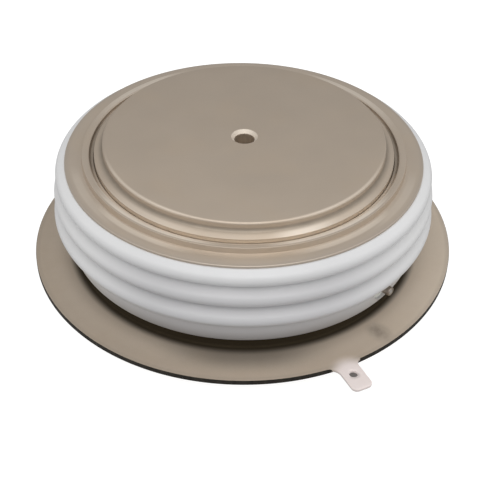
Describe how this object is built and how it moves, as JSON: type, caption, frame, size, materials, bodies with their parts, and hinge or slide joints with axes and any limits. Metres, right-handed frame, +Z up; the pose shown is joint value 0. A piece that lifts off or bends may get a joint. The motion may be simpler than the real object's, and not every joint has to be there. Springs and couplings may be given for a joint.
{
  "type": "disc thyristor",
  "caption": "Round press-pack power thyristor: nickel-plated copper poles top and bottom, white ribbed ceramic ring, wide thin welded rim with a small auxiliary tab, and a short gate tube.",
  "frame": {"origin": "centre of the lower (cathode) pole face, at the mouth of its centring hole", "axes": "+Z up along the capsule's axis, from the cathode face to the anode face; -Y is the front, with the tab and the gate tube on the front right"},
  "size_m": [0.075, 0.0766, 0.026],
  "materials": {
    "plated_copper": "satin nickel plate on copper",
    "plated_sheet": "satin nickel plate on iron-nickel sheet",
    "glazed_ceramic": "white glaze",
    "tube_metal": "dull drawn metal",
    "solder": "dull solder",
    "silver": "soft silver",
    "molybdenum": "lapped grey metal",
    "silicon": "ground crystal",
    "edge_rubber": "cast silicone",
    "white_plastic": "machined fluoropolymer",
    "spring_steel": "bright wire"
  },
  "bodies": {
    "root": {"anode_pole": "plated_copper", "anode_diaphragm": "plated_sheet", "ceramic_ring": "glazed_ceramic", "cathode_weld_flange": "plated_sheet", "lid_flange": "plated_sheet", "cathode_pole": "plated_copper", "gate_tube": "tube_metal", "gate_tube_seal": "solder", "anode_silver_shim": "silver", "anode_moly_disc": "molybdenum", "silicon_wafer": "silicon", "wafer_edge_rubber": "edge_rubber", "cathode_moly_disc": "molybdenum", "cathode_silver_shim": "silver", "centring_ring": "white_plastic", "gate_bush": "white_plastic", "gate_spring": "spring_steel", "gate_pin": "silver", "gate_guide_washer": "white_plastic", "gate_lead": "silver", "gate_sleeve": "white_plastic"}
  },
  "joints": []
}
